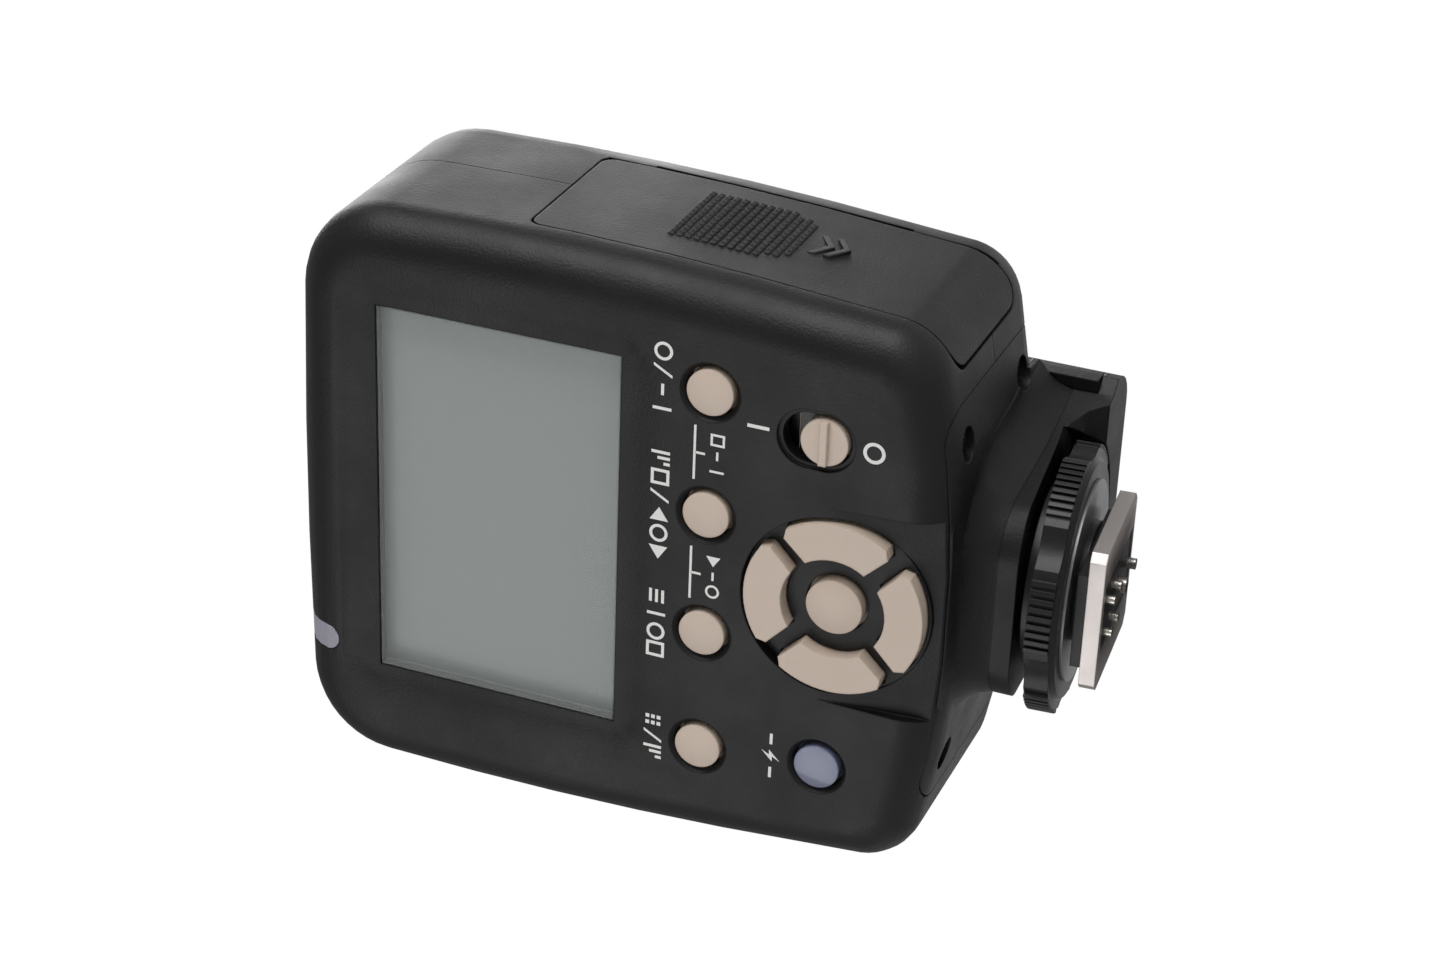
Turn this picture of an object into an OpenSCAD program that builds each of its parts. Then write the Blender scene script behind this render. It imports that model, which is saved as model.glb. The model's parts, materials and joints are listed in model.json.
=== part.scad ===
// Wireless flash trigger that sits in a camera's accessory shoe.
// Origin: centre of the shoe plate's underside. +Z up, +Y to the front, -Y to the user.
// The shoe and its locking wheel stand square to Z. The body above leans forward by lean_angle,
// and its pieces are drawn in the body's own frame and tipped by the module lean().

/* [Body] */
// Half of the body's greatest width
half_w = 38.9; // [38.9:0.1:41]
// Height of the body's top above the shoe plate's underside
body_top = 102.2; // [102.2:0.1:104]
// Distance from the shoe's centre back to the face with the display
rear_depth = 18.7; // [18.7:0.1:19.5]
// Distance from the shoe's centre to the front of the body
front_depth = 18.2; // [18.2:0.1:19]
// Wall thickness of the casings
wall = 2.4; // [2.2:0.1:2.6]
// Forward lean of the body over the shoe, in degrees
lean_angle = 4.4; // [3:0.1:5]

/* [Shoe] */
// Width of the shoe plate
shoe_w = 18.6; // [18.4:0.05:18.6]
// Length of the shoe plate
shoe_l = 18.6; // [18:0.1:19]
// Thickness of the shoe plate
shoe_t = 2; // [1.9:0.05:2]
// Radius of the locking wheel over its ribs
wheel_r = 16.6; // [16:0.1:17]

/* [Controls] */
// Width of the display window
lcd_w = 50.8; // [48:0.1:51]
// Height of the display window
lcd_h = 32.6; // [30:0.1:33]
// Distance between the small round buttons
button_pitch = 16.3; // [16:0.1:16.5]
// Radius of a small round button
button_r = 2.95; // [2.7:0.05:3]
// Radius of the well that holds the four arc keys
pad_r = 11.9; // [11.8:0.1:12]
// How far a button or key can be pressed
key_travel = 0.8; // [0.5:0.1:0.8]
// How far the power switch slides
switch_travel = 2.1; // [1.8:0.1:2.1]

/* [Batteries] */
// Diameter of one AA cell
cell_d = 14.5; // [14:0.1:14.5]
// Length of one AA cell over its button
cell_l = 50.5; // [50:0.1:50.5]

/* [Hidden] */
$fn = 48;
big = 300;

// Body outline, seen from the rear: bulged sides, round corners, a domed underside.
bulge_z = 76;
bulge_r = 463;
top_corner_r = 12;
low_corner_r = 8;
low_corner_x = half_w - 10.6;
low_corner_z = 26;
top_corner_z = body_top - top_corner_r - 0.4;
under_z = 15;
under_r = 146;
rear_round = 5.6;
front_round = 7;
seam_y = 0.5;
gap = 0.15;

// Display window and its shallow surround
lcd_x = 1.5;
lcd_z = 74.1;
surround_depth = 0.6;
surround_slope = 1.6;
surround_w = lcd_w + 4;
surround_h = lcd_h + 6.4;
surround_z = lcd_z + 0.3;

// Controls
row_x = 0.45;
row_z = 46.2;
pad_z = 29.5;
test_x = -22.7;
test_z = 30.5;
test_r = 2.9;
switch_x = 21.6;
switch_z = 32.8;
knob_r = 2.95;
hole_play = 0.35;
rim_chamfer = 0.6;
ok_r = 3.55;
key_in_r = 6.6;
key_out_r = pad_r - 0.55;
key_gap = 2.5;
scoop_half_w = 13.2;
scoop_z = 31;
scoop_depth = 1.8;
indicator_x = -21.4;
indicator_half_w = 1.75;
indicator_z = 97.8;

// Levels behind the rear face, all along Y
rear_y = -rear_depth;
inner_y = rear_y + wall;
flange_y = inner_y + 0.1;
flange_t = 0.6;
press_y = inner_y + 1.2;
board_y = inner_y + 3.9;
board_t = 1.3;

// Battery door and bay
door_y0 = -12.2;
door_y1 = 10.4;
door_top = 72.7;
door_edge_x = low_corner_x + 2;
door_gap = 0.15;
door_end_gap = 0.25;
hinge_tilt = 3.3;
hinge_y = 8.8;
hinge_z = 49;
hinge_in = 1.7;
hinge_r = 0.45;
hinge_l = 37;
lug_z = 13;
lug_l = 3;
door_travel = 3;
board_screw_at = [[-30, 29], [-30, 92], [2.5, 29], [2.5, 92]];
key_screw_x = [-28, 15.5];
key_screw_z = 39;
tray_z = 20.7;
spring_h = 1.4;
cell_z = tray_z + 0.65 + spring_h + 0.35;
tray_h = 2 * (0.65 + 0.35 + spring_h) + cell_l;
cell_a = [25.3, -2.4];
cell_b = [15.2, 8.1];

// Underside panel and neck
panel_half_w = 26.5;
panel_y0 = -16.2;
panel_y1 = 15.5;
panel_top = 19;
screw_x = 21.3;
screw_rear_y = -11.2;
screw_front_y = 9.8;
rim_z = 10;
neck_flare = 5;
neck_low = 11.2;

// Nose with the red window
nose_half_w = 19.3;
nose_y = 22.4;
nose_low = 8.6;
nose_top = 31;
nose_r = 5;
nose_slope = 45;
lens_low = 19.6;
lens_top = 25.6;
lamp_z = 22.6;
apron_low = 6.4;

// Foot
block_w = 12.4;
block_rear_y = -9;
block_front_y = 8.6;
block_top = 3.3;
thread_r = 7.5;
wheel_low = 4.4;
wheel_y = 1.1;
flange_z = 12.3;
wheel_h = 3.5;
pin_x = 2.2;
pin_rows = [-2.5, -6.3];
side_pin_r = 0.55;
centre_pin_r = 1;
centre_pin_y = 1.6;
lock_pin_y = 7.3;
lock_pin_r = 0.7;
pin_out = 1;

// ---------- helpers ----------

module lean() {
    rotate([-lean_angle, 0, 0]) children();
}

// Turns a profile drawn in X and Z into a slab from y0 to y1.
module slab(y0, y1) {
    translate([0, y1, 0]) rotate([90, 0, 0]) linear_extrude(y1 - y0) children();
}

// A cylinder along Y.
module rod_y(x, z, r, y0, y1) {
    translate([x, y0, z]) rotate([-90, 0, 0]) cylinder(r = r, h = y1 - y0);
}

// A cone along Y, with radius r0 at y0 and r1 at y1.
module cone_y(x, z, r0, r1, y0, y1) {
    translate([x, y0, z]) rotate([-90, 0, 0]) cylinder(r1 = r0, r2 = r1, h = y1 - y0);
}

module rod_z(x, y, r, z0, z1) {
    translate([x, y, z0]) cylinder(r = r, h = z1 - z0);
}

module box(x0, x1, y0, y1, z0, z1) {
    translate([x0, y0, z0]) cube([x1 - x0, y1 - y0, z1 - z0]);
}

function arc(cx, cy, r, a0, a1, n) =
    [for (i = [0:n]) [cx + r * cos(a0 + (a1 - a0) * i / n), cy + r * sin(a0 + (a1 - a0) * i / n)]];

function flip(points) = [for (i = [len(points) - 1:-1:0]) [-points[i][0], points[i][1]]];

function round_rect(w, h, r, n) = concat(
    arc(w / 2 - r, h / 2 - r, r, 0, 90, n), arc(r - w / 2, h / 2 - r, r, 90, 180, n),
    arc(r - w / 2, r - h / 2, r, 180, 270, n), arc(w / 2 - r, r - h / 2, r, 270, 360, n));

// Joins rings of equal length, lowest first, into one closed solid.
module loft(rings) {
    n = len(rings[0]);
    m = len(rings);
    polyhedron(
        points = [for (ring = rings) for (p = ring) p],
        faces = concat(
            [[for (i = [0:n - 1]) i]],
            [for (k = [0:m - 2]) for (i = [0:n - 1])
                [k * n + i, (k + 1) * n + i, (k + 1) * n + (i + 1) % n]],
            [for (k = [0:m - 2]) for (i = [0:n - 1])
                [k * n + i, (k + 1) * n + (i + 1) % n, k * n + (i + 1) % n]],
            [[for (i = [n - 1:-1:0]) (m - 1) * n + i]]));
}

// A closed wire coil of height h standing on z = 0.
module coil(r, wire_r, h, turns) {
    steps = 10;
    rows = turns * steps;
    loft([for (k = [0:rows])
        [for (j = [0:5]) let (a = 360 * k / steps, b = -60 * j)
            [(r + wire_r * cos(b)) * cos(a), (r + wire_r * cos(b)) * sin(a),
             wire_r + (h - 2 * wire_r) * k / rows + wire_r * sin(b)]]]);
}

// ---------- body envelope ----------

function side_x(z, inset) = half_w - inset - pow(z - bulge_z, 2) / (2 * bulge_r);

function half_outline(inset) = concat(
    [for (x = [6:7:20]) [x, under_z + x * x / (2 * under_r) + inset]],
    arc(low_corner_x, low_corner_z, low_corner_r - inset, -78, -8, 8),
    [for (z = [32:11.5:78]) [side_x(z, inset), z]],
    arc(side_x(top_corner_z, 0) - top_corner_r, top_corner_z, top_corner_r - inset, 2, 88, 10),
    [[8, body_top - inset]]);

// One ring of the body's skin, square to Y.
function body_ring(y, inset) =
    [for (p = concat(half_outline(inset), flip(half_outline(inset)))) [-p[0], y, p[1]]];

// The body's outer shape, or the same shape drawn in by inset.
module envelope(inset) {
    rear_r = rear_round - inset;
    front_r = front_round - inset;
    y0 = rear_y + inset;
    y1 = front_depth - inset;
    loft(concat(
        [for (a = [0:15:90]) body_ring(y0 + rear_r * (1 - cos(a)), inset + rear_r * (1 - sin(a)))],
        [for (a = [90:-15:0]) body_ring(y1 - front_r * (1 - cos(a)), inset + front_r * (1 - sin(a)))]));
}

module shell_blank() {
    difference() {
        envelope(0);
        envelope(wall);
    }
}

// The shallow recess round the display, with sloping sides.
module display_recess() {
    edge = round_rect(surround_w, surround_h, 3.5, 5);
    outer = round_rect(surround_w + 2 * surround_slope, surround_h + 2 * surround_slope, 3.5 + surround_slope, 5);
    translate([lcd_x, 0, surround_z]) rotate([90, 0, 0]) loft([
        [for (p = edge) [p[0], p[1], -rear_y - surround_depth]],
        [for (p = outer) [p[0], p[1], -rear_y + 0.01]],
        [for (p = outer) [p[0], p[1], 1 - rear_y]]]);
}

// Plan of the underside panel, larger by grow all round.
module panel_plan(grow) {
    translate([0, (panel_y0 + panel_y1) / 2])
        polygon(round_rect(2 * (panel_half_w + grow), panel_y1 - panel_y0 + 2 * grow, 4, 5));
}

// The space of the battery door, larger by grow at its edges and by end_grow underneath.
module door_zone(grow, end_grow) {
    x0 = door_edge_x - end_grow;
    y0 = door_y0 - grow;
    y1 = door_y1 + grow;
    z1 = door_top + grow;
    r = 1.6 - 2.5 * grow;
    intersection() {
        translate([x0, 0, 0]) rotate([90, 0, 90]) linear_extrude(20)
            polygon(concat([[y0, 0], [y1, 0]], arc(y1 - r, z1 - r, r, 0, 90, 6),
                arc(y0 + 1.5, z1 - 1.5, 1.5, 90, 180, 4)));
        linear_extrude(big)
            polygon(concat([[60, y1]], arc(x0 + 3, y1 - 3, 3, 90, 180, 6),
                arc(x0 + 3, y0 + 3, 3, 180, 270, 6), [[60, y0]]));
    }
}

// ---------- hinge of the door ----------

module hinge_frame() {
    translate([side_x(hinge_z, 0) - hinge_in, hinge_y, hinge_z])
        rotate([0, hinge_tilt, 0]) children();
}

// The space that the door's hinged edge sweeps as it turns.
module hinge_sweep() {
    hinge_frame() {
        cylinder(r = 2.5, h = 34, center = true);
        cylinder(r = 2.15, h = 60, center = true);
    }
}

// The two arms of the casing that hold the hinge pin from inside.
module hinge_lugs() {
    for (s = [-1, 1]) hinge_frame() translate([0, 0, s * lug_z]) difference() {
        union() {
            cylinder(r = 0.95, h = lug_l, center = true);
            box(-3.4, 0, -0.95, 0.95, -lug_l / 2, lug_l / 2);
            box(-3.4, -2, -0.95, 5.5, -lug_l / 2, lug_l / 2);
            box(-3.4, -0.5, 2.8, 5.5, -lug_l / 2, lug_l / 2);
        }
        cylinder(r = hinge_r + 0.05, h = lug_l + 1, center = true);
    }
}

// ---------- casings ----------

module button_hole(x, z, r) {
    rod_y(x, z, r + hole_play, rear_y - 1, inner_y + 1);
    cone_y(x, z, r + hole_play + rim_chamfer, r + hole_play, rear_y, rear_y + rim_chamfer);
    rod_y(x, z, r + hole_play + rim_chamfer, rear_y - 1, rear_y);
}

module stadium(r, travel) {
    circle(r = r);
    translate([0, travel]) circle(r = r);
    translate([-r, 0]) square([2 * r, travel]);
}

// The thumb scoop round the lower half of the pad, deepest at the body's lower edge.
module scoop() {
    tilt = atan(scoop_depth / (scoop_z - 18));
    intersection() {
        slab(rear_y - 5, 0)
            polygon(concat(arc(0, pad_z, scoop_half_w, 0, 180, 16),
                [[-scoop_half_w - 0.8, 5], [scoop_half_w + 0.8, 5]]));
        translate([0, rear_y, scoop_z]) rotate([tilt, 0, 0]) box(-20, 20, -8, 0, -25, 0);
    }
}

module rear_shell() color([0.16, 0.16, 0.17]) lean() difference() {
    union() {
        intersection() {
            shell_blank();
            box(-big, big, rear_y - 1, seam_y, 0, big);
        }
        for (side = [-1, 1]) {
            rod_z(side * screw_x, screw_rear_y, 2.6, 20, 22.6);
            box(side * screw_x - 0.8, side * screw_x + 0.8, inner_y - 0.5, screw_rear_y - 2, 20, 22.6);
        }
        for (x = key_screw_x) rod_y(x, key_screw_z, 1.8, inner_y - 0.3, board_y - 0.02);
    }
    for (x = key_screw_x) rod_y(x, key_screw_z, 0.92, inner_y + 0.4, board_y + 1);
    linear_extrude(panel_top + gap) panel_plan(gap);
    door_zone(door_gap, door_end_gap);
    display_recess();
    translate([lcd_x, 0, lcd_z]) slab(rear_y - 1, inner_y + 1) square([lcd_w, lcd_h], center = true);
    for (i = [0:3]) button_hole(row_x + (1.5 - i) * button_pitch, row_z, button_r);
    button_hole(test_x, test_z, test_r);
    rod_y(0, pad_z, pad_r, rear_y - 1, inner_y + 1);
    scoop();
    translate([switch_x, 0, switch_z - switch_travel / 2])
        slab(rear_y - 1, inner_y + 1) stadium(knob_r + 0.3, switch_travel);
    translate([switch_x, 0, switch_z - switch_travel / 2])
        slab(rear_y - 1, rear_y + 0.5) stadium(knob_r + 0.9, switch_travel);
    indicator_prism(0.1);
    for (side = [-1, 1]) rod_z(side * screw_x, screw_rear_y, 0.9, 19, 22);
}

// The slot for the light pipe, which wraps over the body's top rear edge.
module indicator_prism(grow) {
    r = indicator_half_w + grow;
    slab(rear_y - 1, -12) union() {
        translate([indicator_x, indicator_z]) circle(r = r);
        translate([indicator_x - r, indicator_z]) square([2 * r, 10]);
    }
}

module front_shell() color([0.16, 0.16, 0.17]) difference() {
    lean() union() {
        front_casing();
        hinge_lugs();
    }
    wheel_space();
}

module front_casing() difference() {
    union() {
        intersection() {
            shell_blank();
            box(-big, big, seam_y + 0.12, front_depth + 1, 0, big);
        }
        nose_block();
        for (p = board_screw_at) rod_y(p[0], p[1], 2.2, -8.25, front_depth - wall + 0.3);
        for (side = [-1, 1]) {
            rod_z(side * screw_x, screw_front_y, 2.6, 20, 22.6);
            box(side * screw_x - 0.8, side * screw_x + 0.8,
                screw_front_y + 2, front_depth - wall + 0.5, 20, 22.6);
        }
    }
    linear_extrude(panel_top + gap) panel_plan(gap);
    door_zone(door_gap, door_end_gap);
    intersection() {
        hinge_sweep();
        box(0, big, door_y1 - 5, door_y1 + 5, 21, door_top - 0.4);
    }
    for (p = board_screw_at) rod_y(p[0], p[1], 1.02, -9, -4.4);
    box(-nose_half_w + 2, nose_half_w - 2, 5, nose_y - 4.2, nose_low + 2, nose_top - 2);
    box(-nose_half_w + 3, nose_half_w - 3, nose_y - 5, nose_y + 1, lens_low + 1, lens_top - 1);
    lens_zone(gap);
    for (side = [-1, 1]) rod_z(side * screw_x, screw_front_y, 0.9, 19, 22);
}

// The bump below the front of the body that carries the red window.
module nose_block() {
    difference() {
        translate([0, 0, nose_low])
            linear_extrude(nose_top - nose_low)
            polygon(concat([[nose_half_w, 15.7]],
                arc(nose_half_w - nose_r, nose_y - nose_r, nose_r, 0, 90, 6),
                arc(nose_r - nose_half_w, nose_y - nose_r, nose_r, 90, 180, 6),
                [[-nose_half_w, 15.7]]));
        translate([0, nose_y, lens_top + 0.8]) rotate([-nose_slope, 0, 0]) box(-30, 30, -15, 15, 0, 15);
        envelope(0.5);
    }
}

// The recess of the red window in the front of the nose.
module lens_zone(grow) {
    difference() {
        box(-nose_half_w - 1, nose_half_w + 1, nose_y - 3, nose_y + 1, lens_low - grow, lens_top + grow);
        translate([0, 0, lens_low - 1])
            linear_extrude(lens_top - lens_low + 2)
            polygon(round_rect(2 * (nose_half_w - 1.6 - grow), 2 * (nose_y - 1.6 - grow), nose_r - 1.6, 5));
    }
}

module red_window() color([0.62, 0.06, 0.1]) lean() intersection() {
    nose_block();
    lens_zone(0);
}

module signal_lamp() color([0.85, 0.3, 0.3]) lean() union() {
    rod_y(0, lamp_z, 1.8, 16.8, 19.6);
    rod_y(0, lamp_z, 3, 16, 17);
}

// Right half of the neck's plan: round at the rear, wider to the front.
function neck_half(grow) = concat(
    arc(6.4, -5.6, 6.9 + grow, -84, -14, 6),
    [[14.7 + grow, 5.5], [16.2 + grow, 11], [17.8 + min(grow, 3), 15.7]],
    arc(nose_half_w - nose_r, nose_y - nose_r, nose_r, 0, 90, 6), [[7, nose_y]]);

function neck_plan(grow) = concat(neck_half(grow), flip(neck_half(grow)));

// The neck's concave flare up to the underside panel.
module neck_flare_body() {
    steps = [15:15:90];
    loft(concat([neck_ring(neck_low - 1, -0.5)],
        [for (a = steps) neck_ring(neck_low + neck_flare * sin(a), neck_flare * (1 - cos(a)))],
        [neck_ring(panel_top - 2, neck_flare)]));
}

function neck_ring(z, grow) = [for (p = neck_plan(grow)) [p[0], p[1], z]];

module wheel_space() {
    rod_z(0, wheel_y, wheel_r + 1.4, -5, rim_z);
}

module base_block() color([0.15, 0.15, 0.16]) difference() {
    lean() union() {
        intersection() {
            difference() {
                envelope(0);
                envelope(wall);
            }
            linear_extrude(panel_top) panel_plan(0);
        }
        difference() {
            union() {
                rise(apron_low, neck_low + 0.4) polygon(neck_plan(0));
                intersection() {
                    neck_flare_body();
                    rise(0, 30) panel_plan(-0.03);
                }
            }
            box(-31, 31, panel_y1 - 0.03, 40, nose_low - gap, 40);
        }
    }
    // space for the wheel, open at the sides and the rear
    wheel_space();
    rotate([90, 0, 90]) linear_extrude(80, center = true)
        polygon([[-40, -5], [-40, rim_z], [7, rim_z], [10.5, 9.3], [13, 7.7], [14.5, 5.4], [14.5, -5]]);
    // seat of the foot column
    rod_z(0, wheel_y, thread_r + 0.05, 0, 20);
    rod_z(0, wheel_y, 10.3, flange_z - 0.02, 30);
    for (a = [45:90:315]) translate([0, wheel_y, 0]) rotate(a) rod_z(8.8, 0, 0.72, flange_z - 1.6, 20);
    lean() rod_y(0, pad_z, pad_r + 0.35, rear_y - 1, -13.8);
    lean() for (side = [-1, 1]) for (y = [screw_rear_y, screw_front_y]) {
        rod_z(side * screw_x, y, 1.35, 10, 30);
        rod_z(side * screw_x, y, 2.15, 10, 18.1);
    }
}

module base_screws() color([0.08, 0.08, 0.08]) lean()
    for (side = [-1, 1]) for (y = [screw_rear_y, screw_front_y]) base_screw(side * screw_x, y);

module base_screw(x, y) {
    difference() {
        union() {
            rod_z(x, y, 1.9, 17.5, 18.1);
            rod_z(x, y, 0.85, 17.6, 21.9);
        }
        for (turn = [0, 90]) translate([x, y, 17.4]) rotate([0, 0, turn]) box(-1.2, 1.2, -0.22, 0.22, 0, 0.4);
    }
}

// ---------- battery door ----------

module battery_door() color([0.17, 0.17, 0.18]) lean() difference() {
    union() {
        intersection() {
            shell_blank();
            door_zone(-0.1, -door_end_gap);
        }
        hinge_frame() cylinder(r = 1.25, h = hinge_l + 2, center = true);
    }
    hinge_frame() {
        cylinder(r = hinge_r + 0.04, h = hinge_l + 0.4, center = true);
        for (s = [-1, 1]) translate([0, 0, s * lug_z]) door_notch();
    }
}

// A notch in the door's edge, long enough for the lug and the door's slide.
module door_notch() {
    box(-3, 1.1, -1.2, 5, -lug_l / 2 - 0.3, lug_l / 2 + door_travel + 0.3);
}

module door_hinge_pin() color([0.7, 0.7, 0.72]) lean()
    hinge_frame() cylinder(r = hinge_r, h = hinge_l, center = true);

// ---------- display ----------

module lcd_window() color([0.75, 0.8, 0.8]) lean() union() {
    translate([lcd_x, 0, lcd_z])
        slab(rear_y + surround_depth + 0.1, inner_y + 0.05)
        square([lcd_w - 0.4, lcd_h - 0.4], center = true);
    translate([lcd_x, 0, lcd_z])
        slab(inner_y + 0.05, inner_y + 0.6)
        square([lcd_w + 2.4, lcd_h + 2], center = true);
}

module lcd_panel() color([0.52, 0.56, 0.54]) lean()
    translate([lcd_x, 0, lcd_z])
    slab(inner_y + 0.65, inner_y + 2.3) square([lcd_w + 3, lcd_h + 3], center = true);

module lcd_backlight() color([0.9, 0.9, 0.88]) lean()
    translate([lcd_x, 0, lcd_z])
    slab(inner_y + 2.35, inner_y + 4.4) square([lcd_w + 2.4, lcd_h + 2.4], center = true);

module indicator_pipe() color([0.7, 0.68, 0.76]) lean() difference() {
    intersection() {
        envelope(0.02);
        indicator_prism(0);
    }
    envelope(wall);
}

module indicator_led() color([0.9, 0.9, 0.8]) lean() box(-22.6, -20.2, -11.3, -9.85, 91.5, 94);

// ---------- controls ----------

// A round cap with a slightly domed top and a flange inside the casing.
module round_button(x, z, r, proud) {
    crown_r = 14;
    crown = crown_r - sqrt(crown_r * crown_r - r * r);
    intersection() {
        rod_y(x, z, r, rear_y - proud - 1, flange_y + 0.2);
        translate([x, rear_y - proud + crown_r, z]) sphere(r = crown_r, $fn = 96);
    }
    rod_y(x, z, r + 0.8, flange_y, flange_y + flange_t);
    rod_y(x, z, 1.6, flange_y, press_y);
}

module row_button(i) color([0.74, 0.68, 0.63]) lean()
    round_button(row_x + (1.5 - i) * button_pitch, row_z, button_r, 0.35);

module row_button_1() row_button(0);
module row_button_2() row_button(1);
module row_button_3() row_button(2);
module row_button_4() row_button(3);

module test_button() color([0.5, 0.53, 0.62]) lean() round_button(test_x, test_z, test_r, 0.35);

module test_led() color([0.9, 0.9, 0.8]) lean()
    box(test_x + 2.9, test_x + 4.5, board_y - 0.8, board_y, test_z - 1, test_z + 1);

module ok_key() color([0.74, 0.68, 0.63]) lean() round_button(0, pad_z, ok_r, 0.3);

module pad_key(a) color([0.74, 0.68, 0.63]) lean() translate([0, 0, pad_z]) rotate([0, -a, 0]) {
    slab(rear_y - 0.5, flange_y + 0.2) key_sector(0);
    slab(flange_y + 0.1, flange_y + 0.7) key_sector(0.35);
    translate([8.9, 0, 0]) rod_y(0, 0, 1.4, flange_y, press_y);
}

// The arc key's outline between its two straight ends.
module key_sector(grow) {
    half_gap = key_gap / 2 - grow;
    out = key_out_r + grow;
    in = key_in_r - grow;
    a_out = 45 - asin(half_gap / out);
    a_in = 45 - asin(half_gap / in);
    corner = out - 0.9;
    polygon(concat(arc(0, 0, out, -a_out + 5, a_out - 5, 14), [[corner * cos(a_out), corner * sin(a_out)]],
        arc(0, 0, in, a_in, -a_in, 8), [[corner * cos(a_out), -corner * sin(a_out)]]));
}

module pad_key_right() pad_key(0);
module pad_key_up() pad_key(90);
module pad_key_left() pad_key(180);
module pad_key_down() pad_key(270);

// Hub and diagonal arms between the keys, on a plate behind the rear wall.
module pad_bezel() color([0.13, 0.13, 0.14]) lean() translate([0, 0, pad_z]) difference() {
    union() {
        rod_y(0, 0, pad_r - 0.02, rear_y + 1.3, inner_y);
    }
    for (a = [0:90:270]) rotate([0, -a, 0]) slab(rear_y - 2, inner_y + 3) key_sector(0.2);
    rod_y(0, 0, ok_r + hole_play, rear_y - 2, inner_y + 3);
}

module power_knob() color([0.74, 0.68, 0.63]) lean()
    translate([switch_x, 0, switch_z - switch_travel / 2]) {
    rod_y(0, 0, knob_r, rear_y - 0.1, inner_y + 0.2);
    slab(rear_y - 0.7, rear_y) translate([-knob_r + 0.15, -0.5]) square([2 * knob_r - 0.3, 1]);
    slab(inner_y + 0.1, inner_y + 0.7) square([8, 8], center = true);
    rod_y(0, 0, 0.9, inner_y, inner_y + 2);
}

module power_switch_body() color([0.6, 0.6, 0.62]) lean() difference() {
    box(switch_x - 4.2, switch_x + 4.2, inner_y + 1, board_y, switch_z - 4.5, switch_z + 4.5);
    box(switch_x - 1.3, switch_x + 1.3, inner_y + 0.5, inner_y + 2.4,
        switch_z - switch_travel / 2 - 1.2, switch_z + switch_travel / 2 + 1.2);
}

// ---------- boards ----------

module key_board() color([0.1, 0.35, 0.2]) lean() difference() {
    union() {
        box(-31, 30, board_y, board_y + board_t, 24.5, 52.5);
        box(-17, 17, board_y, board_y + board_t, 19.4, 25);
    }
    for (x = key_screw_x) rod_y(x, key_screw_z, 1.1, board_y - 1, board_y + 2);
}

module tact(x, z) {
    box(x - 1.5, x + 1.5, board_y - 1.6, board_y, z - 1.5, z + 1.5);
    rod_y(x, z, 0.8, press_y + key_travel + 0.1, board_y - 1.5);
}

module tact_switches() color([0.75, 0.75, 0.77]) lean() {
    for (i = [0:3]) tact(row_x + (1.5 - i) * button_pitch, row_z);
    for (a = [0:90:270]) tact(8.9 * cos(a), pad_z + 8.9 * sin(a));
    tact(0, pad_z);
    tact(test_x, test_z);
}

module main_board() color([0.1, 0.35, 0.2]) lean() difference() {
    box(-33, 6.5, -9.8, -8.3, 25, 96);
    for (p = board_screw_at) rod_y(p[0], p[1], 1.3, -11, -7);
}

module board_screws() color([0.7, 0.7, 0.72]) lean() {
    for (p = board_screw_at) {
        rod_y(p[0], p[1], 2.1, -10.7, -9.82);
        rod_y(p[0], p[1], 1, -10, -4.6);
    }
    for (x = key_screw_x) {
        rod_y(x, key_screw_z, 1.7, board_y + board_t + 0.02, board_y + board_t + 0.7);
        rod_y(x, key_screw_z, 0.9, inner_y + 0.6, board_y + board_t + 0.3);
    }
}

module board_chips() color([0.08, 0.08, 0.08]) lean() {
    box(-22, -12, -8.3, -7.1, 45, 55);
    box(-8, -2, -8.3, -7.1, 40, 45);
    box(-28, -23, -8.3, -6.9, 34, 37.5);
    box(-7, 1, -8.3, -5.8, 60, 66);
}

module radio_module() color([0.78, 0.78, 0.8]) lean() {
    box(-29, -11, -8.3, -7.5, 66, 86);
    box(-28, -12, -7.5, -5.3, 67, 80);
}

module antenna() color([0.8, 0.65, 0.4]) lean() union() {
    rod_z(-20, -6.4, 0.5, 83.5, 97);
    rod_y(-20, 84, 0.5, -7.5, -6.4);
}

// ---------- battery bay ----------

// The bay's thin wall, bent round the two cells.
module tray_wall() {
    polygon([[28, -9.85], [22.2, -9.85], [7.7, 5.08], [7.7, 14],
        [7, 14], [7, 4.76], [21.85, -10.65], [28, -10.65]]);
}

module tray_end() {
    polygon([[27.5, -10.3], [22, -10.3], [7.2, 4.9], [7.2, 14], [19, 14], [27.5, 4]]);
}

module battery_tray() color([0.2, 0.2, 0.21]) lean() difference() {
    union() {
        rise(tray_z, tray_z + tray_h) tray_wall();
        rise(tray_z, tray_z + 0.6) tray_end();
        rise(tray_z + tray_h - 0.6, tray_z + tray_h) tray_end();
    }
    for (y = [screw_rear_y, screw_front_y]) rod_z(screw_x, y, 2.9, 20, 22.8);
}

module aa_cell(p, up) {
    translate([p[0], p[1], cell_z + (up ? 0 : cell_l)]) mirror([0, 0, up ? 0 : 1]) {
        cylinder(r = cell_d / 2, h = cell_l - 1.2);
        cylinder(r = 2.7, h = cell_l);
    }
}

module battery_cell_1() color([0.85, 0.6, 0.25]) lean() aa_cell(cell_a, true);
module battery_cell_2() color([0.85, 0.6, 0.25]) lean() aa_cell(cell_b, false);

module battery_springs() color([0.8, 0.8, 0.78]) lean() {
    translate([cell_a[0], cell_a[1], cell_z - spring_h]) coil(3.2, 0.17, spring_h - 0.05, 2);
    translate([cell_b[0], cell_b[1], cell_z + cell_l + 0.05]) coil(3.2, 0.17, spring_h - 0.1, 2);
}

module battery_plates() color([0.8, 0.8, 0.78]) lean() {
    for (p = [cell_a, cell_b]) {
        contact_plate(p, cell_z - spring_h - 0.35);
        contact_plate(p, cell_z + cell_l + spring_h + 0.05);
    }
}

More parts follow.
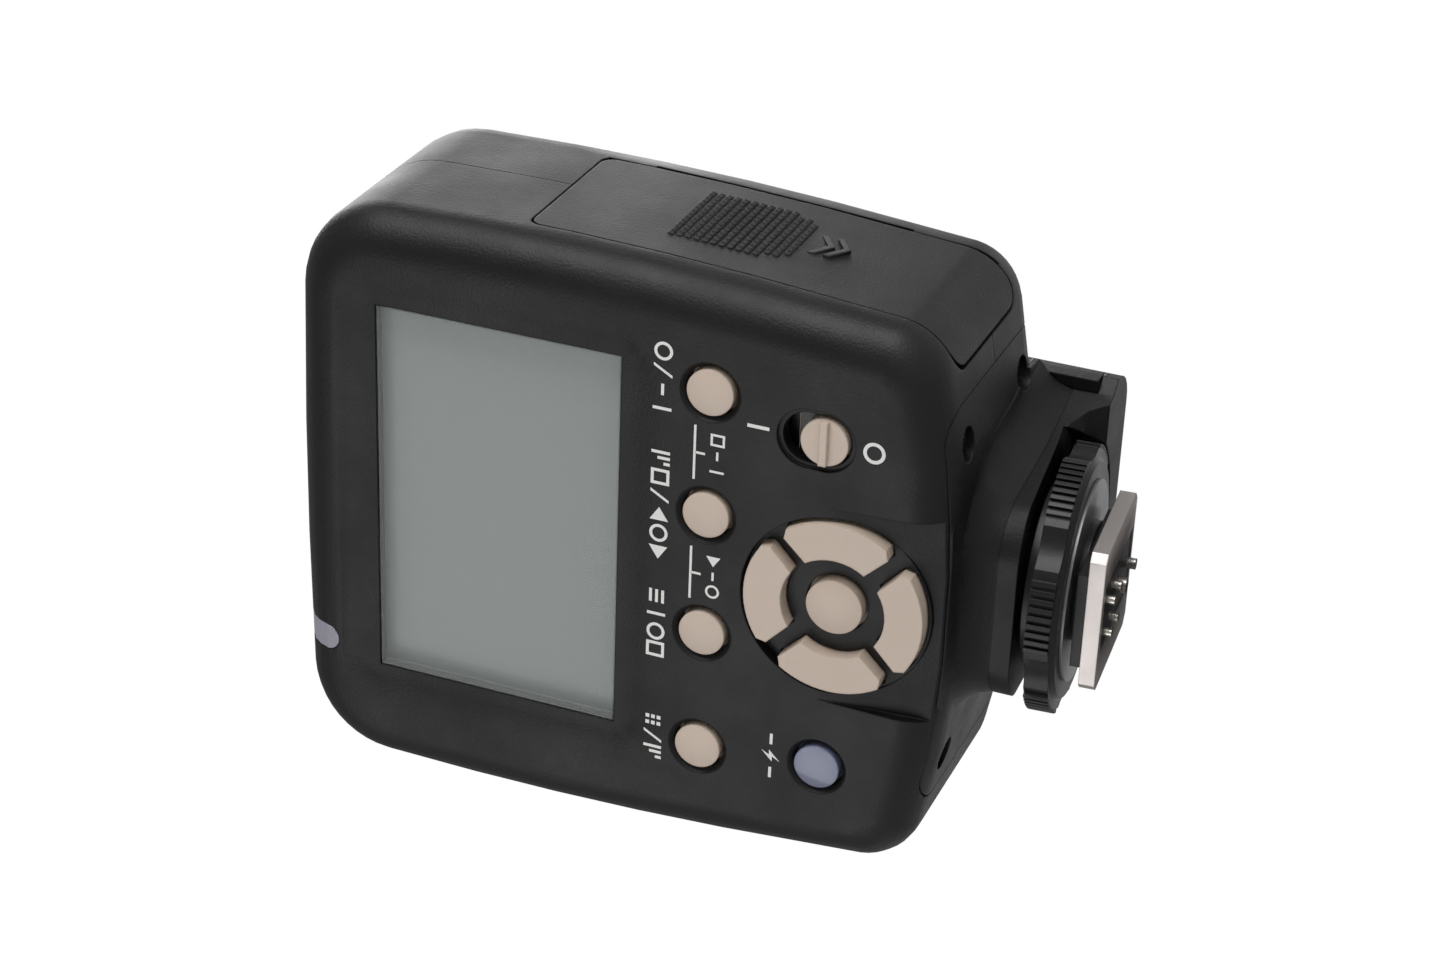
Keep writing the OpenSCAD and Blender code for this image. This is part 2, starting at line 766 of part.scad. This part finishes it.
module contact_plate(p, z) {
    box(p[0] - 4.5, p[0] + 2.2, p[1] - 4.5, p[1] + 4.5, z, z + 0.3);
}

// ---------- foot ----------

module wheel_plan() {
    rib_count = 9;
    rib_pitch = 3.7;
    scallops = 6;
    base_r = wheel_r - 0.5;
    difference() {
        union() {
            circle(r = base_r, $fn = 96);
            for (k = [0:scallops - 1]) for (i = [0:rib_count - 1])
                rotate(-80 + 60 * k + (i - (rib_count - 1) / 2) * rib_pitch)
                translate([base_r - 0.3, -0.3]) square([0.8, 0.6]);
        }
        for (k = [0:scallops - 1]) rotate(-50 + 60 * k) translate([base_r + 5.6, 0]) circle(r = 6.4);
    }
}

module locking_wheel() color([0.07, 0.07, 0.07]) translate([0, wheel_y, 0]) difference() {
    union() {
        rise(wheel_low + 0.5, wheel_low + wheel_h) wheel_plan();
        translate([0, 0, wheel_low]) cylinder(r1 = wheel_r - 2, r2 = wheel_r - 1.4, h = 0.6);
        rise(wheel_low + wheel_h - 0.1, rim_z - 0.6) circle(r = 11.5);
    }
    translate([0, 0, -1]) cylinder(r = thread_r + 0.08, h = 30);
}

module rise(z0, z1) {
    translate([0, 0, z0]) linear_extrude(z1 - z0) children();
}

module clamp_washer() color([0.5, 0.5, 0.52]) translate([0, wheel_y, 0])
    rise(wheel_low - 0.4, wheel_low - 0.03) difference() {
        circle(r = 12.5);
        circle(r = thread_r + 0.08);
    }

module foot_column() color([0.1, 0.1, 0.1]) difference() {
    union() {
        box(-block_w / 2, block_w / 2, block_rear_y, block_front_y, shoe_t + 0.01, block_top);
        rod_z(0, wheel_y, thread_r, block_top - 0.1, flange_z + 0.1);
        rod_z(0, wheel_y, 10, flange_z, flange_z + 1.6);
    }
    box(-4.7, 4.7, -8, 6, shoe_t - 1, 2.9);
    rod_z(0, lock_pin_y, lock_pin_r + 0.15, 0, 3.05);
    rod_z(0, 2.9, 2.6, 2.8, 20);
    for (a = [45:90:315]) translate([0, wheel_y, 0]) rotate(a) rod_z(8.8, 0, 0.75, flange_z - 1, 20);
}

module column_screws() color([0.75, 0.75, 0.77])
    for (a = [45:90:315]) translate([0, wheel_y, 0]) rotate(a) {
        rod_z(8.8, 0, 0.7, flange_z - 1.5, flange_z + 1.7);
        rod_z(8.8, 0, 1.15, flange_z + 1.62, flange_z + 2.3);
    }

module shoe_plate() color([0.85, 0.82, 0.8]) difference() {
    chamfer = 1;
    linear_extrude(shoe_t)
        polygon([[-shoe_w / 2, -shoe_l / 2 + chamfer], [-shoe_w / 2 + chamfer, -shoe_l / 2],
            [shoe_w / 2 - chamfer, -shoe_l / 2], [shoe_w / 2, -shoe_l / 2 + chamfer],
            [shoe_w / 2, shoe_l / 2 - 1.2], [shoe_w / 2 - 1.2, shoe_l / 2],
            [-shoe_w / 2 + 1.2, shoe_l / 2], [-shoe_w / 2, shoe_l / 2 - 1.2]]);
    translate([0, 0, -1]) linear_extrude(5) insert_plan(0.03);
}

module insert_plan(grow) {
    translate([-4.4 - grow, -7.8 - grow]) square([8.8 + 2 * grow, 16.4 + 2 * grow]);
}

function side_pin_at(i) = [(i % 2 == 0 ? 1 : -1) * pin_x, pin_rows[floor(i / 2)]];

module pin_bores() {
    for (i = [0:3]) translate([side_pin_at(i)[0], side_pin_at(i)[1], 0]) pin_bore(side_pin_r);
    translate([0, centre_pin_y, 0]) pin_bore(centre_pin_r);
    translate([0, lock_pin_y, -1]) cylinder(r = lock_pin_r + 0.05, h = 6);
}

module pin_bore(r) {
    translate([0, 0, -1]) cylinder(r = r + 0.05, h = 5);
    translate([0, 0, 1]) cylinder(r = r + 0.4, h = 5);
}

module contact_insert() color([0.1, 0.1, 0.1]) difference() {
    union() {
        translate([0, 0, 0.15]) linear_extrude(shoe_t - 0.15) insert_plan(0);
        box(-4.65, 4.65, -7.95, 5.95, shoe_t, 2.85);
    }
    pin_bores();
}

module contact_pin(p, r, out) {
    translate([p[0], p[1], 0]) {
        translate([0, 0, -out]) cylinder(r = r, h = 1.2 + out);
        translate([0, 0, 1.05]) cylinder(r = r + 0.35, h = 0.4);
    }
}

module side_pin(i) color([0.8, 0.68, 0.4]) contact_pin(side_pin_at(i), side_pin_r, pin_out);
module side_pin_1() side_pin(0);
module side_pin_2() side_pin(1);
module side_pin_3() side_pin(2);
module side_pin_4() side_pin(3);
module centre_pin() color([0.8, 0.68, 0.4]) contact_pin([0, centre_pin_y], centre_pin_r, pin_out);

module pin_spring(p, r, wire_r) color([0.8, 0.8, 0.78])
    translate([p[0], p[1], 1.5]) coil(r, wire_r, 1.3, 2);

module side_spring_1() pin_spring(side_pin_at(0), 0.62, 0.1);
module side_spring_2() pin_spring(side_pin_at(1), 0.62, 0.1);
module side_spring_3() pin_spring(side_pin_at(2), 0.62, 0.1);
module side_spring_4() pin_spring(side_pin_at(3), 0.62, 0.1);
module centre_spring() pin_spring([0, centre_pin_y], 1.05, 0.12);

module lock_pin() color([0.8, 0.8, 0.82])
    translate([0, lock_pin_y, -pin_out]) cylinder(r = lock_pin_r, h = 2 + pin_out);

module foot_ribbon() color([0.75, 0.7, 0.55]) union() {
    box(-2, 2, 2.7, 3.1, 3.1, 26.2);
    box(-2, 2, -6, 3, 25.8, 26.2);
}

// ---------- selection ----------

rear_shell();
front_shell();
base_block();
battery_door();
door_hinge_pin();
lcd_window();
lcd_panel();
lcd_backlight();
indicator_pipe();
indicator_led();
row_button_1();
row_button_2();
row_button_3();
row_button_4();
pad_bezel();
pad_key_right();
pad_key_up();
pad_key_left();
pad_key_down();
ok_key();
test_button();
test_led();
power_knob();
power_switch_body();
key_board();
tact_switches();
main_board();
board_chips();
radio_module();
antenna();
board_screws();
battery_tray();
battery_cell_1();
battery_cell_2();
battery_springs();
battery_plates();
red_window();
signal_lamp();
locking_wheel();
clamp_washer();
foot_column();
column_screws();
shoe_plate();
contact_insert();
centre_pin();
side_pin_1();
side_pin_2();
side_pin_3();
side_pin_4();
side_spring_1();
side_spring_2();
side_spring_3();
side_spring_4();
centre_spring();
lock_pin();
base_screws();
foot_ribbon();
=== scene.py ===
"""Looks of the wireless flash trigger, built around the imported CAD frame. Metres throughout.

The shoe stands square to the frame and the body leans forward over it by LEAN. Positions on the
body are given in millimetres in the body's own frame, and the function at() takes them to the
scene: x to the battery door, y to the front, z up.
"""

import json
import math

import bmesh
import bpy
from mathutils import Matrix, Vector


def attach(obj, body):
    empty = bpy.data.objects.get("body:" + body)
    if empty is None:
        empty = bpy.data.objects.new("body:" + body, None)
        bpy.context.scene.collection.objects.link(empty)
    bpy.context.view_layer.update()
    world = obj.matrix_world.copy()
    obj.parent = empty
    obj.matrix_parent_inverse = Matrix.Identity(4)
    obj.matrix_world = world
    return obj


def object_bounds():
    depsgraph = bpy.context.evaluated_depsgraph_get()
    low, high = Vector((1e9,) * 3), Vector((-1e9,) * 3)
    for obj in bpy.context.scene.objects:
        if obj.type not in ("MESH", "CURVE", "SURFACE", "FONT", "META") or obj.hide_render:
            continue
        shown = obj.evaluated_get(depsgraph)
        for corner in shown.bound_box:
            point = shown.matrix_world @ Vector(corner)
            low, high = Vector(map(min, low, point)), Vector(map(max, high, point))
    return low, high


MM = 0.001
LEAN = math.radians(4.4)
REAR_Y = -18.7

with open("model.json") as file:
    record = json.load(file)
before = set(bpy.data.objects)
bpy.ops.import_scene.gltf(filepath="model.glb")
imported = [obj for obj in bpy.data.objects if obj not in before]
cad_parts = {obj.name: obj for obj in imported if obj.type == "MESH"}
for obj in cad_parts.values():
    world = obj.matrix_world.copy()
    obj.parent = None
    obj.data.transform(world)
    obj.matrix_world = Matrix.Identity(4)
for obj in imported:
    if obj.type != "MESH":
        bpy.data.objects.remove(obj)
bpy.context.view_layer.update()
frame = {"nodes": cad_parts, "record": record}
nodes = frame["nodes"]

TO_SCENE = Matrix.Rotation(-LEAN, 4, "X")


def at(x, y, z):
    """A point of the body's frame, in millimetres, as a scene point."""
    return TO_SCENE @ (Vector((x, y, z)) * MM)


# ---------- materials ----------


materials = {}


def new_material(name, color, rough, metal=0.0, **extra):
    """A Principled material with its node tree, ready for texture nodes."""
    mat = bpy.data.materials.new(name)
    materials[name] = mat
    mat.use_nodes = True
    shader = mat.node_tree.nodes["Principled BSDF"]
    shader.inputs["Base Color"].default_value = (*color, 1)
    shader.inputs["Roughness"].default_value = rough
    shader.inputs["Metallic"].default_value = metal
    for socket, value in extra.items():
        shader.inputs[socket.replace("_", " ")].default_value = value
    return mat


def add(mat, kind, **values):
    """Adds a node and sets its properties and input values by name."""
    node = mat.node_tree.nodes.new(kind)
    for key, value in values.items():
        if hasattr(node, key):
            setattr(node, key, value)
        else:
            node.inputs[key.replace("_", " ")].default_value = value
    return node


def join(mat, a, out, b, socket):
    mat.node_tree.links.new(a.outputs[out], b.inputs[socket])


def grain(mat, size, depth, edge=0.0, rough=None, color=None, stretch=None):
    """Fine surface relief, softened edges and a little wear.

    size is the grain's width and depth its height, in metres. edge rounds sharp edges in the shading.
    rough and color give the (least, greatest) roughness and the (base, worn) colours.
    """
    shader = mat.node_tree.nodes["Principled BSDF"]
    coords = add(mat, "ShaderNodeTexCoord")
    source = coords
    if stretch:
        mapping = add(mat, "ShaderNodeMapping", Scale=stretch)
        join(mat, coords, "Object", mapping, "Vector")
        source = mapping
    out = "Vector" if stretch else "Object"
    fine = add(mat, "ShaderNodeTexNoise", Scale=1 / size, Detail=3.0, Roughness=0.6)
    join(mat, source, out, fine, "Vector")
    bump = add(mat, "ShaderNodeBump", Strength=0.6, Distance=depth)
    join(mat, fine, "Fac", bump, "Height")
    if edge:
        soft = add(mat, "ShaderNodeBevel", samples=6, Radius=edge)
        join(mat, soft, "Normal", bump, "Normal")
    join(mat, bump, "Normal", shader, "Normal")
    if rough or color:
        broad = add(mat, "ShaderNodeTexNoise", Scale=1 / (size * 40), Detail=5.0, Roughness=0.65)
        join(mat, source, out, broad, "Vector")
    if rough:
        spread = add(mat, "ShaderNodeMapRange", From_Min=0.3, From_Max=0.7, To_Min=rough[0], To_Max=rough[1])
        join(mat, broad, "Fac", spread, "Value")
        join(mat, spread, "Result", shader, "Roughness")
    if color:
        mix = add(mat, "ShaderNodeMix", data_type="RGBA")
        mix.inputs["A"].default_value = (*color[0], 1)
        mix.inputs["B"].default_value = (*color[1], 1)
        join(mat, broad, "Fac", mix, "Factor")
        mat.node_tree.links.new(mix.outputs["Result"], shader.inputs["Base Color"])
    return mat


def make_materials():
    black = new_material("black_plastic", (0.005, 0.005, 0.0053), 0.5, Specular_IOR_Level=0.3)
    grain(black, 0.00035, 0.00009, edge=0.00025, rough=(0.4, 0.54),
          color=((0.004, 0.004, 0.0042), (0.0065, 0.0065, 0.0068)))
    dark = new_material("dark_plastic", (0.004, 0.004, 0.0042), 0.34, Specular_IOR_Level=0.4)
    grain(dark, 0.0006, 0.00003, edge=0.00015, rough=(0.3, 0.42))
    keys = new_material("key_plastic", (0.58, 0.46, 0.375), 0.42, Subsurface_Weight=0.05)
    grain(keys, 0.0004, 0.00003, edge=0.0003, rough=(0.36, 0.5),
          color=((0.55, 0.435, 0.355), (0.62, 0.5, 0.41)))
    test = new_material("test_plastic", (0.2, 0.22, 0.33), 0.25, Transmission_Weight=0.25, Coat_Weight=0.3)
    grain(test, 0.0005, 0.00002, edge=0.0003, rough=(0.2, 0.3))
    window = new_material("clear_window", (0.8, 0.84, 0.83), 0.04, Alpha=0.1)
    grain(window, 0.02, 0.0000002, rough=(0.02, 0.06))
    display = new_material("display_glass", (0.2, 0.226, 0.22), 0.45, Specular_IOR_Level=0.2)
    grain(display, 0.004, 0.0000002, rough=(0.4, 0.5), color=((0.185, 0.212, 0.205), (0.215, 0.242, 0.235)))
    white = new_material("white_plastic", (0.75, 0.75, 0.72), 0.5)
    grain(white, 0.0005, 0.00003)
    pipe = new_material("pipe_plastic", (0.42, 0.41, 0.48), 0.3, Transmission_Weight=0.3)
    grain(pipe, 0.0004, 0.00002, edge=0.0002)
    red = new_material("red_plastic", (0.42, 0.006, 0.018), 0.12, Transmission_Weight=0.15, IOR=1.49)
    grain(red, 0.0015, 0.00002, edge=0.0003, rough=(0.08, 0.16))
    lamp = new_material("lamp_plastic", (0.7, 0.3, 0.3), 0.2, Transmission_Weight=0.5)
    grain(lamp, 0.001, 0.00001)
    board = new_material("board", (0.015, 0.12, 0.045), 0.4)
    grain(board, 0.0008, 0.00003, color=((0.01, 0.09, 0.03), (0.02, 0.15, 0.06)))
    bright = new_material("bright_metal", (0.62, 0.61, 0.6), 0.28, metal=1.0)
    grain(bright, 0.0003, 0.00002, edge=0.0001, rough=(0.2, 0.36))
    steel = new_material("grey_steel", (0.33, 0.33, 0.34), 0.35, metal=1.0)
    grain(steel, 0.0003, 0.00002, edge=0.0001, rough=(0.28, 0.42))
    shoe = new_material("shoe_metal", (0.56, 0.52, 0.5), 0.42, metal=1.0)
    grain(shoe, 0.00025, 0.00002, edge=0.00018, rough=(0.36, 0.5), stretch=(1, 0.06, 1),
          color=((0.53, 0.49, 0.47), (0.6, 0.56, 0.54)))
    pins = new_material("pin_metal", (0.78, 0.74, 0.68), 0.24, metal=1.0)
    grain(pins, 0.0003, 0.00001, edge=0.00012, rough=(0.16, 0.3))
    ribbon = new_material("ribbon", (0.45, 0.28, 0.08), 0.4)
    grain(ribbon, 0.0004, 0.00003)
    cell = new_material("cell_wrap", (0.5, 0.28, 0.07), 0.25, metal=0.6)
    grain(cell, 0.001, 0.00001, rough=(0.2, 0.32))
    legend = new_material("legend_ink", (0.78, 0.78, 0.76), 0.5)
    grain(legend, 0.0003, 0.00001, rough=(0.45, 0.6))


make_materials()


# Vertices closer than WELD_M join, and edges sharper than SHARP_ANGLE stay sharp.
WELD_M = 1e-6
SHARP_ANGLE = math.radians(28)
FACE_SHARE = 90


def dress_nodes():
    """Gives every CAD node its slot's material, and smooth shading that keeps sharp edges."""
    slots = {part["node"]: part["material_slot"] for part in frame["record"]["subparts"]}
    for name, obj in nodes.items():
        obj.data.materials.clear()
        obj.data.materials.append(materials[slots[name]])
        if "custom_normal" in obj.data.attributes:
            obj.data.attributes.remove(obj.data.attributes["custom_normal"])
        obj.data.polygons.foreach_set("use_smooth", [True] * len(obj.data.polygons))
        weld = obj.modifiers.new("weld", "WELD")
        weld.merge_threshold = WELD_M
        split = obj.modifiers.new("split", "EDGE_SPLIT")
        split.split_angle = SHARP_ANGLE
        even = obj.modifiers.new("even", "WEIGHTED_NORMAL")
        even.keep_sharp = True
        even.weight = FACE_SHARE


dress_nodes()


# ---------- added pieces ----------


def piece(name, mesh, material, body, smooth=True):
    """A new object that rides on a body and takes its finish from the named slot."""
    obj = bpy.data.objects.new(name, mesh)
    bpy.context.collection.objects.link(obj)
    mesh.materials.append(materials[material])
    if smooth:
        mesh.polygons.foreach_set("use_smooth", [True] * len(mesh.polygons))
    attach(obj, body)
    return obj


def flat_shape(bm, outline, x, z, y=REAR_Y, lift=0.03):
    """Adds a thin raised plate on the rear face. outline is a list of (x, z) around (0, 0)."""
    front = [bm.verts.new(at(x + p[0], y - lift, z + p[1])) for p in outline]
    back = [bm.verts.new(at(x + p[0], y + 0.02, z + p[1])) for p in outline]
    n = len(outline)
    bm.faces.new(front)
    bm.faces.new(back[::-1])
    for i in range(n):
        bm.faces.new((front[i], back[i], back[(i + 1) % n], front[(i + 1) % n]))


def bar(w, h):
    return [(-w / 2, -h / 2), (w / 2, -h / 2), (w / 2, h / 2), (-w / 2, h / 2)]


def ring_parts(r, t, steps=20):
    """The quads of a flat ring of outer radius r and width t."""
    quads = []
    for i in range(steps):
        a, b = 2 * math.pi * i / steps, 2 * math.pi * (i + 1) / steps
        quads.append([(r * math.cos(a), r * math.sin(a)), (r * math.cos(b), r * math.sin(b)),
                      ((r - t) * math.cos(b), (r - t) * math.sin(b)),
                      ((r - t) * math.cos(a), (r - t) * math.sin(a))])
    return quads


def finish_mesh(name, bm):
    bmesh.ops.recalc_face_normals(bm, faces=bm.faces)
    mesh = bpy.data.meshes.new(name)
    bm.to_mesh(mesh)
    bm.free()
    return mesh


# Places on the rear face, in millimetres of the body's frame.
ROW_MIDDLE = 0.45
ROW_PITCH = 16.3
ROW_X = [ROW_MIDDLE + (i - 1.5) * ROW_PITCH for i in range(4)]
ROW_Z = 46.2
ROW_SIGNS_Z = ROW_Z + 6.0
BRACKET_Z = ROW_Z + 1.7
BRACKET_SIGNS_Z = ROW_Z - 1.2
SWITCH_X = 21.6
SWITCH_Z = 31.75
SWITCH_FLOOR_Y = -16.24


def square_ring(w, h, t):
    """The four bars of a square frame, as outlines round its centre."""
    return [shift(bar(w, t), 0, (h - t) / 2), shift(bar(w, t), 0, (t - h) / 2),
            shift(bar(t, h - 2 * t), (w - t) / 2, 0), shift(bar(t, h - 2 * t), (t - w) / 2, 0)]


def shift(outline, dx, dz):
    return [(x + dx, z + dz) for x, z in outline]


def column(k):
    """One of three bars that grow to the right on a common foot."""
    h = 0.8 * (k + 1)
    return shift(bar(STROKE, h), 0.75 * (k - 1), (h - SIGN_H) / 2)


STROKE = 0.38
SIGN_H = 2.4
# Each sign is a list of outlines round its own centre.
SIGNS = {
    "ring": ring_parts(SIGN_H / 2, STROKE),
    "frame": square_ring(2.1, SIGN_H, STROKE),
    "rod": [bar(STROKE, SIGN_H)],
    "steps": [column(k) for k in range(3)],
    "left": [[(-1.0, 0), (0.8, -1.2), (0.8, 1.2)]],
    "right": [[(1.0, 0), (-0.8, 1.2), (-0.8, -1.2)]],
    "lines": [shift(bar(1.8, STROKE), 0, k * 0.8) for k in (-1, 0, 1)],
    "slash": [[(-0.85, -SIGN_H / 2), (-0.5, -SIGN_H / 2), (0.85, SIGN_H / 2), (0.5, SIGN_H / 2)]],
    "dots": [shift(bar(0.5, 0.5), x, z) for x in (-0.45, 0.45) for z in (-0.75, 0, 0.75)],
    "dash": [bar(1.5, STROKE)],
    "bolt": [[(0.6, 1.2), (-0.8, -0.2), (-0.1, -0.2)], [(-0.6, -1.2), (0.8, 0.2), (0.1, 0.2)]],
}


def write_signs(bm, names, x, z, pitch, scale=1.0):
    """Sets a row of signs side by side on the rear face, centred on (x, z) and pitch apart."""
    for i, name in enumerate(names):
        dx = (i - (len(names) - 1) / 2) * pitch
        for outline in SIGNS[name]:
            flat_shape(bm, [(px * scale, pz * scale) for px, pz in outline], x + dx, z)


def legends():
    """White marks round the keys: neutral signs in place of the printed words."""
    bm = bmesh.new()
    write_signs(bm, ["steps", "slash", "dots"], ROW_X[0], ROW_SIGNS_Z, 2.3)
    write_signs(bm, ["frame", "ring", "rod", "lines"], ROW_X[1], ROW_SIGNS_Z, 2.5)
    write_signs(bm, ["left", "ring", "right", "slash", "frame", "steps"], ROW_X[2], ROW_SIGNS_Z, 2.55)
    write_signs(bm, ["rod", "dash", "slash", "ring"], ROW_X[3] + 0.4, ROW_SIGNS_Z, 2.5)
    # brackets that tie neighbouring keys to what pressing both does
    for i, names in ((1, ["ring", "dash", "left"]), (2, ["rod", "dash", "frame"])):
        x = (ROW_X[i] + ROW_X[i + 1]) / 2
        flat_shape(bm, bar(7.2, 0.3), x, BRACKET_Z)
        flat_shape(bm, bar(0.3, 1.3), x, BRACKET_Z - 0.7)
        write_signs(bm, names, x, BRACKET_SIGNS_Z, 2.1, 0.76)
    # on and off at the two ends of the switch, and a flash by the test key
    write_signs(bm, ["rod"], SWITCH_X + 0.2, 40.0, 2, 1.15)
    write_signs(bm, ["ring"], SWITCH_X, 25.6, 2, 1.15)
    write_signs(bm, ["dash", "bolt", "dash"], -22.7, 36.5, 2.4)
    piece("key_marks", finish_mesh("key_marks", bm), "legend_ink", "casing", smooth=False)


def switch_slot_painted_shade():
    """A black plate behind the slide switch's slot, which moves with the knob: painted shade that keeps the
    slot dark.
    """
    bm = bmesh.new()
    flat_shape(bm, bar(7.8, 7.8), SWITCH_X, SWITCH_Z, y=SWITCH_FLOOR_Y, lift=0.02)
    piece("switch_slot_painted_shade", finish_mesh("switch_slot_painted_shade", bm), "dark_plastic", "switch_knob", smooth=False)


# The side of the body is an arc of radius BULGE_R, widest at height BULGE_Z.
HALF_W = 38.9
BULGE_Z = 76
BULGE_R = 463

PYRAMID_PITCH = 1.08
PYRAMID_H = 0.42
PATCH_ROWS = 14
PATCH_TOP = 56.6
PATCH_HALF_W = 7.0
# Below ROUND_FROM the patch narrows along an ellipse that is ROUND_H high.
ROUND_FROM = 47
ROUND_H = 6

CHEVRON_HALF_W = 2.6
CHEVRON_Z = (39.6, 37.6)


def side_x(z):
    """Half width of the body at height z: the sides are slightly bulged."""
    return HALF_W - (z - BULGE_Z) ** 2 / (2 * BULGE_R)


def grip_patch():
    """Rows of small pyramids on the battery door, in a patch with a rounded lower end."""
    bm = bmesh.new()
    half = PYRAMID_PITCH * 0.47
    for row in range(PATCH_ROWS):
        z = PATCH_TOP - row * PYRAMID_PITCH
        reach = PATCH_HALF_W * math.sqrt(1 - max(0.0, (ROUND_FROM - z) / ROUND_H) ** 2)
        count = int(reach / PYRAMID_PITCH)
        for i in range(-count, count + 1):
            y = i * PYRAMID_PITCH
            x = side_x(z) - 0.05
            ring = [bm.verts.new(at(x, y + a * half, z + b * half)) for a, b in
                    ((-1, -1), (1, -1), (1, 1), (-1, 1))]
            top = bm.verts.new(at(x + PYRAMID_H, y, z))
            for k in range(4):
                bm.faces.new((ring[k], ring[(k + 1) % 4], top))
            bm.faces.new(ring[::-1])
    piece("grip_patch", finish_mesh("grip_patch", bm), "black_plastic", "door", smooth=False)


def door_arrow():
    """Two small raised chevrons under the grip patch show which way the door slides."""
    bm = bmesh.new()
    x = side_x(38.5)
    for z in CHEVRON_Z:
        w = CHEVRON_HALF_W
        outline = [(-w, z + 1.2), (0, z - 0.5), (w, z + 1.2), (w, z + 0.3), (0, z - 1.4), (-w, z + 0.3)]
        top = [bm.verts.new(at(x + 0.22, p[0], p[1])) for p in outline]
        base = [bm.verts.new(at(x - 0.15, p[0] * 1.06, p[1])) for p in outline]
        n = len(outline)
        bm.faces.new(top)
        bm.faces.new(base[::-1])
        for i in range(n):
            bm.faces.new((top[i], base[i], base[(i + 1) % n], top[(i + 1) % n]))
    piece("door_arrow", finish_mesh("door_arrow", bm), "black_plastic", "door", smooth=False)


legends()
switch_slot_painted_shade()
grip_patch()
door_arrow()


# ---------- floor, light and camera ----------


FLOOR_SIZE = 3.0
FLOOR_GAP = 0.0002
LAMP_SIZE = 0.6
ROOM_LIGHT = 0.3


def make_floor():
    """A pale floor under the object. Seen from below it is clear, as the camera looks up from there."""
    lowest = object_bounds()[0][2]
    under = (0, 0, lowest - FLOOR_GAP)
    bpy.ops.mesh.primitive_grid_add(x_subdivisions=8, y_subdivisions=8, size=FLOOR_SIZE, location=under)
    floor = bpy.context.object
    floor.name = "floor"
    mat = new_material("floor_paper", (0.86, 0.86, 0.86), 0.6)
    tree = mat.node_tree
    shader = tree.nodes["Principled BSDF"]
    side = add(mat, "ShaderNodeNewGeometry")
    clear = add(mat, "ShaderNodeBsdfTransparent")
    mix = add(mat, "ShaderNodeMixShader")
    join(mat, side, "Backfacing", mix, 0)
    join(mat, shader, "BSDF", mix, 1)
    join(mat, clear, "BSDF", mix, 2)
    join(mat, mix, "Shader", tree.nodes["Material Output"], "Surface")
    floor.data.materials.append(mat)


def soft_box(name, place, target, size, power):
    """A large square area lamp aimed at a point."""
    data = bpy.data.lights.new(name, "AREA")
    data.energy = power
    data.size = size
    lamp = bpy.data.objects.new(name, data)
    bpy.context.collection.objects.link(lamp)
    lamp.location = place
    lamp.rotation_euler = (Vector(target) - Vector(place)).to_track_quat("-Z", "Y").to_euler()
    return lamp


def make_light():
    """A white backdrop, a dimmer even light from all round, and three soft lamps."""
    world = bpy.data.worlds.new("studio")
    world.use_nodes = True
    tree = world.node_tree
    backdrop = tree.nodes["Background"]
    backdrop.inputs["Color"].default_value = (1, 1, 1, 1)
    backdrop.inputs["Strength"].default_value = 1.0
    room = tree.nodes.new("ShaderNodeBackground")
    room.inputs["Color"].default_value = (1, 1, 1, 1)
    room.inputs["Strength"].default_value = ROOM_LIGHT
    path = tree.nodes.new("ShaderNodeLightPath")
    mix = tree.nodes.new("ShaderNodeMixShader")
    tree.links.new(path.outputs["Is Camera Ray"], mix.inputs[0])
    tree.links.new(room.outputs["Background"], mix.inputs[1])
    tree.links.new(backdrop.outputs["Background"], mix.inputs[2])
    tree.links.new(mix.outputs["Shader"], tree.nodes["World Output"].inputs["Surface"])
    bpy.context.scene.world = world
    middle = (0, 0, 0.05)
    soft_box("key", (0.8, -0.15, 0.25), middle, LAMP_SIZE, 6)
    soft_box("fill", (-0.5, -0.8, 0.35), middle, LAMP_SIZE, 2.6)
    soft_box("back", (0.1, 0.8, 0.5), middle, LAMP_SIZE, 4)


CAMERA_AT = Vector((0.19493, -0.34154, -0.05156))
CAMERA_TURN = math.radians(29.05)
CAMERA_TILT = math.radians(14.58)
CAMERA_ROLL = math.radians(-79.77)
LENS = 81.26
SENSOR_W = 36
NEAR_CLIP = 0.01


def make_camera():
    """A camera low behind the object on the door's side, turned on its side as the subject lies."""
    ahead = Vector((-math.sin(CAMERA_TURN) * math.cos(CAMERA_TILT),
                    math.cos(CAMERA_TURN) * math.cos(CAMERA_TILT), math.sin(CAMERA_TILT)))
    level = ahead.cross(Vector((0, 0, 1))).normalized()
    above = level.cross(ahead)
    right = level * math.cos(CAMERA_ROLL) + above * math.sin(CAMERA_ROLL)
    up = right.cross(ahead)
    data = bpy.data.cameras.new("camera")
    data.lens = LENS
    data.sensor_width = SENSOR_W
    data.clip_start = NEAR_CLIP
    camera = bpy.data.objects.new("camera", data)
    bpy.context.collection.objects.link(camera)
    camera.matrix_world = Matrix.Translation(CAMERA_AT) @ Matrix((right, up, -ahead)).transposed().to_4x4()
    bpy.context.scene.camera = camera


make_floor()
make_light()
make_camera()
bpy.context.scene.view_settings.view_transform = "Standard"
